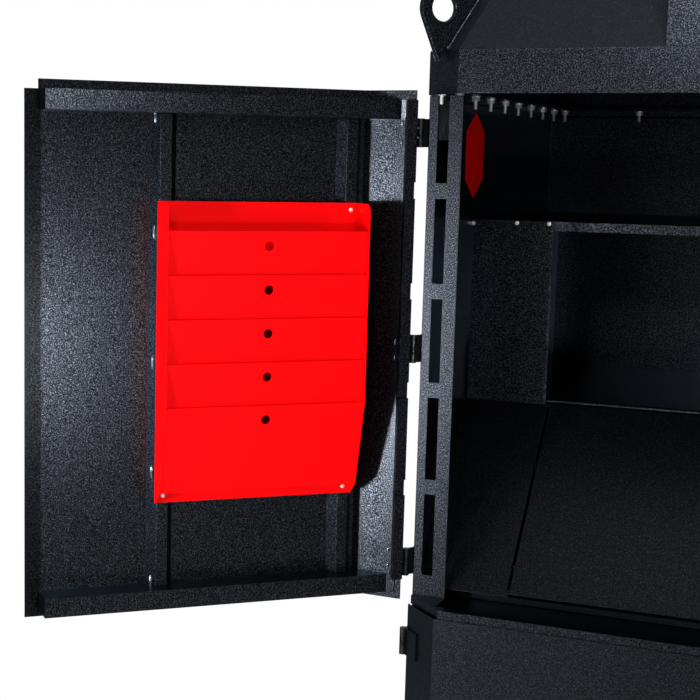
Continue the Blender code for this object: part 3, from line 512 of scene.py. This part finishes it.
def hem_shade_line(hinge, side):
    """Direction and distance of an open door's hem fold, then the grain, glint and roughness past it; the weaker
    grain past the fold paints shade on the hem strip.
    """
    turn = Matrix.Rotation(side * DOOR_OPEN, 3, "Z")
    along = turn @ Vector((-side, 0.0, 0.0))
    # Painted shade: past the fold the grain keeps only 0.3 of its strength, so the hem strip reads darker.
    grain, glint, roughness = 0.3, 0.0, 0.3
    return tuple(along), along.dot(Vector(hinge["pos_m"])) + HEM_REACH, grain, glint, roughness


def make_materials(scene):
    """All coats, keyed by the finish they stand for."""
    coat, rack = scene.cabinet_coat, scene.cabinet_rack
    sandy, smoother, calmer = (0.276, 0.296), (0.276, 0.30), (0.30, 0.38)
    # Painted sheen: above the eaves the roof slopes get an even glint that makes them read lighter than the
    # fascia, with weaker grain and satin roughness.
    roof_sheen_line = ((0.0, 0.0, 1.0), EAVES, 0.3, 0.13, 0.5)
    hinge_tones = (0.0022, 0.0023, 0.0025), (0.004, 0.0042, 0.0045)
    lock_tones = (0.004, 0.004, 0.0044), (0.007, 0.007, 0.0075)
    red_tones = tuple(rack.red), tuple(rack.shade)
    return {
        "black": sandy_coat("sandy_black_coat", coat, sandy),
        # The door skins carry painted shade on their hem strips.
        "left_skin": sandy_coat("left_door_coat", coat, sandy, calm=hem_shade_line(LEFT_HINGE, -1.0)),
        "right_skin": sandy_coat("right_door_coat", coat, sandy, calm=hem_shade_line(RIGHT_HINGE, 1.0)),
        "rail": sandy_coat("door_rail_coat", coat, sandy, lean=(RAIL_FOOT, RAIL_LEAN)),
        "calm": sandy_coat("calm_black_coat", coat, calmer, strength=0.4, even=0.03),
        "desk": sandy_coat("desk_black_coat", coat, smoother, strength=0.45, even=0.05),
        "roof": sandy_coat("roof_black_coat", coat, smoother, strength=0.9, calm=roof_sheen_line),
        # Painted highlight: the welds get an even bright glint all over, much brighter than the black coat on
        # them.
        "weld": sandy_coat("coated_weld_painted_highlight", coat, (0.24, 0.30), strength=0.4, even=0.9),
        "red": smooth_coat("red_satin_coat", *red_tones, (0.42, 0.55), grain=0.0015, gloss=0.05),
        "hinge": smooth_coat("black_hinge_paint", *hinge_tones, (0.25, 0.34), grain=0.002, gloss=0.5),
        "lock": smooth_coat("black_lock_coat", *lock_tones, (0.28, 0.38), grain=0.001, gloss=0.5),
        "zinc": bright_zinc("bright_zinc"),
    }


# Filled by the first step, for the steps after it
MATERIALS = {}


class CABINET_OT_coats(bpy.types.Operator):
    """Give each solid its coat and soften its edges"""

    bl_idname = "cabinet.coats"
    bl_label = "Coat the sheet steel"

    def execute(self, context):
        slots = {s["node"]: s["material_slot"] for s in frame["record"]["subparts"]}
        MATERIALS.update(make_materials(context.scene))
        width = context.scene.cabinet_coat.edge
        for name, node in NODES.items():
            node.data.materials.clear()
            node.data.materials.append(MATERIALS[OWN_COATS.get(name, SLOT_COATS[slots[name]])])
            weld = node.modifiers.new("merge", "WELD")
            weld.merge_threshold = MERGE
            flat = node.modifiers.new("flat", "DECIMATE")
            flat.decimate_type = "DISSOLVE"
            flat.angle_limit = FLAT_ANGLE
            round_off = node.modifiers.new("round", "BEVEL")
            round_off.width = width
            round_off.segments = 2
            round_off.limit_method = "ANGLE"
            round_off.angle_limit = EDGE_ANGLE
            even = node.modifiers.new("even", "WEIGHTED_NORMAL")
            even.weight = 100
        return {"FINISHED"}


class CABINET_OT_roof_bolts(bpy.types.Operator):
    """Hang the bolts with washer and nut under the roof's flange"""

    bl_idname = "cabinet.roof_bolts"
    bl_label = "Hang the roof bolts"

    def execute(self, context):
        size = context.scene.cabinet_fasteners
        start_disc(24, size.washer)
        draw_steps(WASHER_STEPS)
        start_disc(6, size.nut * NUT_CHAMFER, -0.0016)
        draw_steps(NUT_STEPS)
        thread, nut_foot, turns, groove = 0.0030, 0.0070, 8, 0.90
        start_disc(12, thread, -nut_foot)
        step = (size.drop - nut_foot) / (2 * turns + 2)
        for _ in range(turns):
            draw_steps(((-step, groove), (-step, 1.0 / groove)))
        draw_out(-2 * step, 0.72)
        bolt = close_shape()
        under = WALL_LEFT[1].z - SHEET
        side_line, side_middle, back_line = 0.561, -0.007, WALL_BACK[1].y - 0.022
        spots = []
        for side in (-1.0, 1.0):
            spots += [(side * side_line, side_middle + k * size.pitch) for k in range(-4, 5)]
            spots += [(side * x, back_line) for x in (0.550, 0.406, 0.270, 0.135)]
        spots.append((0.0, back_line))
        nut_turn = 0.7
        places = [(Matrix.Translation((x, y, under)) @ Matrix.Rotation(nut_turn * i, 4, "Z"), "cabinet")
                  for i, (x, y) in enumerate(spots)]
        spread(bolt, "roof_bolt", MATERIALS["zinc"], places)
        return {"FINISHED"}


class CABINET_OT_cover_screws(bpy.types.Operator):
    """Set the screws along the top of the covers beside the cubby"""

    bl_idname = "cabinet.cover_screws"
    bl_label = "Set the cover screws"

    def execute(self, context):
        radius = context.scene.cabinet_fasteners.screw
        start_disc(20, radius)
        draw_steps(SCREW_STEPS)
        screw = close_shape()
        turn = Matrix.Rotation(math.radians(90.0), 4, "X")
        row = ((0.5772, 1.4559), (0.5035, 1.4584), (0.4500, 1.4587))
        spots = [(side * x, z) for side in (-1.0, 1.0) for x, z in row]
        places = [(Matrix.Translation((x, COVER_LEFT[0].y, z)) @ turn, "cabinet") for x, z in spots]
        spread(screw, "cover_screw", MATERIALS["zinc"], places)
        return {"FINISHED"}


class CABINET_OT_rack_rivets(bpy.types.Operator):
    """Set the rivets that hold the document rack on its door"""

    bl_idname = "cabinet.rack_rivets"
    bl_label = "Set the rack rivets"

    def execute(self, context):
        radius = context.scene.cabinet_fasteners.rivet
        start_disc(18, radius)
        draw_steps(RIVET_STEPS)
        rivet = close_shape()
        turn = Matrix.Rotation(math.radians(-90.0), 4, "X")
        plate = 0.0387
        spots = ((0.0936, 1.4802), (0.0945, 1.0515), (0.3853, 1.0518))
        places = [(door_place(-1.0, reach, plate, z) @ turn, "left_door") for reach, z in spots]
        spread(rivet, "rack_rivet", MATERIALS["zinc"], places)
        return {"FINISHED"}


class CABINET_OT_door_welds(bpy.types.Operator):
    """Lay the tack welds of the stiffeners and of the hinge side on both upper doors"""

    bl_idname = "cabinet.door_welds"
    bl_label = "Lay the door welds"

    def execute(self, context):
        size = context.scene.cabinet_fasteners
        doors = ((-1.0, "left_door"), (1.0, "right_door"))
        spots = [(0.4002, 0.0493, z) for z in (1.613, 1.445, 1.253, 1.087, 0.917)]
        places = [(door_place(side, *spot), body) for side, body in doors for spot in spots]
        bead = weld_bead(0.020, size.tack, 0.010)
        spread(bead, "stiffener_tack", MATERIALS["weld"], places)
        spots = [(0.0240, 0.0152, z) for z in (1.612, 1.584, 1.279, 1.255, 0.950, 0.925)]
        places = [(door_place(side, *spot), body) for side, body in doors for spot in spots]
        bead = weld_bead(0.008, size.tack * 0.75, 0.008)
        spread(bead, "hinge_tack", MATERIALS["weld"], places)
        return {"FINISHED"}


class CABINET_OT_lug_welds(bpy.types.Operator):
    """Lay the weld beads at both sides of each lifting lug's foot"""

    bl_idname = "cabinet.lug_welds"
    bl_label = "Lay the lug welds"

    def execute(self, context):
        size = context.scene.cabinet_fasteners
        low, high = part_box("canopy")
        slope = math.sqrt(2.0) * ROOF_RUN / ROOF_RISE
        length = LUG_FOOT * math.hypot(slope, 1.0) * 0.96
        front = low.y + ROOF_CORNER
        corners = ((-1.0, low.x + ROOF_CORNER, front, 1.0), (1.0, high.x - ROOF_CORNER, front, 1.0),
                   (-1.0, low.x, high.y, -1.0), (1.0, high.x, high.y, -1.0))
        lean = Matrix.Rotation(math.atan(slope), 4, "Y")
        beside = LUG_HALF + size.bead * 0.45
        places = []
        for side, x, y, inward in sorted(corners):
            turn = Matrix.Rotation(math.atan2(inward, -side), 4, "Z")
            for face in (-1.0, 1.0):
                shift = Matrix.Translation((slope * LUG_FOOT / 2, face * beside, LUG_FOOT / 2))
                places.append((Matrix.Translation((x, y, EAVES)) @ turn @ shift @ lean, "cabinet"))
        bead = weld_bead(length, size.bead, size.ripple)
        spread(bead, "lug_weld", MATERIALS["black"], places)
        return {"FINISHED"}


class CABINET_OT_corner_seams(bpy.types.Operator):
    """Lay the seam welds in the back corners above the shelf"""

    bl_idname = "cabinet.corner_seams"
    bl_label = "Lay the corner seams"

    def execute(self, context):
        size = context.scene.cabinet_fasteners
        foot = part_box("shelf")[1].z + 0.0005
        head = WALL_BACK[1].z - FLANGE_DROP
        back = WALL_BACK[1].y - SHEET
        places = [(Matrix.Translation((x, back, (foot + head) / 2)), "cabinet")
                  for x in (WALL_BACK[0].x, WALL_BACK[1].x)]
        bead = weld_bead(head - foot, size.seam, 0.012)
        spread(bead, "corner_seam", MATERIALS["black"], places)
        return {"FINISHED"}


class CABINET_OT_stage(bpy.types.Operator):
    """Set the floor, the lights and the camera"""

    bl_idname = "cabinet.stage"
    bl_label = "Set the stage"

    def execute(self, context):
        settings = context.scene.cabinet_stage
        context.scene.view_settings.view_transform = "Standard"
        self.floor(settings)
        self.lights(settings)
        self.sky(context.scene, settings)
        self.camera(context.scene, settings)
        return {"FINISHED"}

    def floor(self, settings):
        """A wide pale floor that fades into the white backdrop."""
        deselect()
        middle, radius = (0.15, -0.45, 0.0), 2.1
        fade_start, fade_end = radius * 0.55, radius * 0.97
        bpy.ops.mesh.primitive_circle_add(vertices=96, radius=radius, fill_type="NGON", location=middle)
        floor = bpy.context.object
        floor.name = "studio_floor"
        material, tree, shader, where = new_material("pale_floor")
        cloud = tree.nodes.new("ShaderNodeTexNoise")
        cloud.inputs["Scale"].default_value = 0.8
        link(tree, where.outputs["Object"], cloud.inputs["Vector"])
        pale = tuple(settings.floor)
        tone = mixed(tree, cloud.outputs["Fac"], pale, tuple(c * 0.98 for c in pale))
        link(tree, tone, shader.inputs["Base Color"])
        shader.inputs["Roughness"].default_value = 0.8
        reach = tree.nodes.new("ShaderNodeVectorMath")
        reach.operation = "LENGTH"
        link(tree, where.outputs["Object"], reach.inputs[0])
        fade = tree.nodes.new("ShaderNodeMapRange")
        fade.interpolation_type = "SMOOTHSTEP"
        fade.inputs["From Min"].default_value = fade_start
        fade.inputs["From Max"].default_value = fade_end
        link(tree, reach.outputs["Value"], fade.inputs["Value"])
        path = tree.nodes.new("ShaderNodeLightPath")
        glow = math_node(tree, "MULTIPLY", fade.outputs["Result"], path.outputs["Is Camera Ray"])
        shader.inputs["Emission Strength"].default_value = 1.0
        link(tree, mixed(tree, glow, (0.0, 0.0, 0.0), (1.0, 1.0, 1.0)), shader.inputs["Emission Color"])
        floor.data.materials.append(material)

    def lights(self, settings):
        """A tall light on the left, small ones on the right and above the camera, and wide ones all round."""
        rig = (
            ("key", (-1.73, -2.58, 0.99), (-0.7, -0.5, 1.2), (0.20, 0.70), settings.key),
            ("side", (0.35, -1.88, 1.08), (-0.9, -0.6, 1.25), (0.14, 0.14), settings.side),
            ("front", (-0.24, -2.74, 2.22), (-0.3, -0.4, 1.4), (0.20, 0.20), settings.front),
            ("fill", (1.2, -2.2, 3.2), (-0.7, -0.5, 1.3), (0.8, 0.8), settings.fill),
            ("over", (-0.3, -1.0, 3.2), (-0.3, -0.3, 1.0), (1.2, 1.2), settings.over),
            ("rear", (0.4, 3.4, 1.3), (0.0, 0.4, 1.0), (1.8, 0.9), settings.rear),
            ("left", (-2.6, 2.8, 1.3), (-0.6, 0.1, 1.0), (1.6, 0.9), settings.rear),
            ("right", (2.6, 2.8, 1.3), (0.6, 0.1, 1.0), (1.6, 0.9), settings.rear),
        )
        for name, place, aim, size, power in rig:
            bpy.ops.object.light_add(type="AREA", location=place)
            lamp = bpy.context.object
            lamp.name = name + "_softbox"
            lamp.data.shape = "RECTANGLE"
            lamp.data.size, lamp.data.size_y = size
            lamp.data.energy = power
            lamp.rotation_euler = (Vector(aim) - Vector(place)).to_track_quat("-Z", "Y").to_euler()

    def sky(self, scene, settings):
        """White light from all round, and a white backdrop for the camera."""
        world = bpy.data.worlds.new("studio_white")
        world.use_nodes = True
        tree = world.node_tree
        ground = tree.nodes["Background"]
        ground.inputs["Color"].default_value = (1.0, 1.0, 1.0, 1.0)
        path = tree.nodes.new("ShaderNodeLightPath")
        mix = tree.nodes.new("ShaderNodeMapRange")
        mix.inputs["To Min"].default_value = settings.sky
        mix.inputs["To Max"].default_value = 1.0
        link(tree, path.outputs["Is Camera Ray"], mix.inputs["Value"])
        link(tree, mix.outputs["Result"], ground.inputs["Strength"])
        scene.world = world

    def camera(self, scene, settings):
        """The photograph's point of view."""
        yaw, pitch, roll = (math.radians(angle) for angle in CAMERA_TURN)
        level = math.cos(pitch)
        ahead = Vector((math.sin(yaw) * level, math.cos(yaw) * level, math.sin(pitch)))
        right = Vector((math.cos(yaw), -math.sin(yaw), 0.0))
        up = right.cross(ahead)
        tilted_right = math.cos(roll) * right + math.sin(roll) * up
        tilted_up = math.cos(roll) * up - math.sin(roll) * right
        bpy.ops.object.camera_add(location=CAMERA_PLACE)
        camera = bpy.context.object
        axes = Matrix((tilted_right, tilted_up, -ahead)).transposed()
        camera.rotation_euler = axes.to_euler()
        camera.data.sensor_width = 36.0
        camera.data.lens = settings.lens
        camera.data.shift_x, camera.data.shift_y = CAMERA_SHIFT
        scene.camera = camera


class CABINET_PT_panel(bpy.types.Panel):
    """Sidebar panel of the cabinet's finishing steps"""

    bl_label = "Cabinet"
    bl_idname = "CABINET_PT_panel"
    bl_space_type = "VIEW_3D"
    bl_region_type = "UI"
    bl_category = "Cabinet"

    def draw(self, context):
        for step in STEPS:
            self.layout.operator(step.bl_idname)
        for name in GROUPS:
            group = getattr(context.scene, name)
            box = self.layout.box()
            for key in group.__annotations__:
                box.prop(group, key)


GROUPS = {
    "cabinet_coat": CoatSettings,
    "cabinet_rack": RackSettings,
    "cabinet_fasteners": FastenerSettings,
    "cabinet_stage": StageSettings,
}
STEPS = (
    CABINET_OT_coats,
    CABINET_OT_roof_bolts,
    CABINET_OT_cover_screws,
    CABINET_OT_rack_rivets,
    CABINET_OT_door_welds,
    CABINET_OT_lug_welds,
    CABINET_OT_corner_seams,
    CABINET_OT_stage,
)


def register():
    """Register the settings, the steps and the panel."""
    for name, group in GROUPS.items():
        bpy.utils.register_class(group)
        setattr(bpy.types.Scene, name, PointerProperty(type=group))
    for item in (*STEPS, CABINET_PT_panel):
        bpy.utils.register_class(item)


def unregister():
    """Take out the panel, the steps and the settings."""
    for item in (CABINET_PT_panel, *reversed(STEPS)):
        bpy.utils.unregister_class(item)
    for name, group in reversed(GROUPS.items()):
        delattr(bpy.types.Scene, name)
        bpy.utils.unregister_class(group)


def main():
    """Dress the cabinet and set the stage."""
    register()
    bpy.ops.cabinet.coats()
    bpy.ops.cabinet.roof_bolts()
    bpy.ops.cabinet.cover_screws()
    bpy.ops.cabinet.rack_rivets()
    bpy.ops.cabinet.door_welds()
    bpy.ops.cabinet.lug_welds()
    bpy.ops.cabinet.corner_seams()
    bpy.ops.cabinet.stage()


if __name__ == "__main__":
    main()
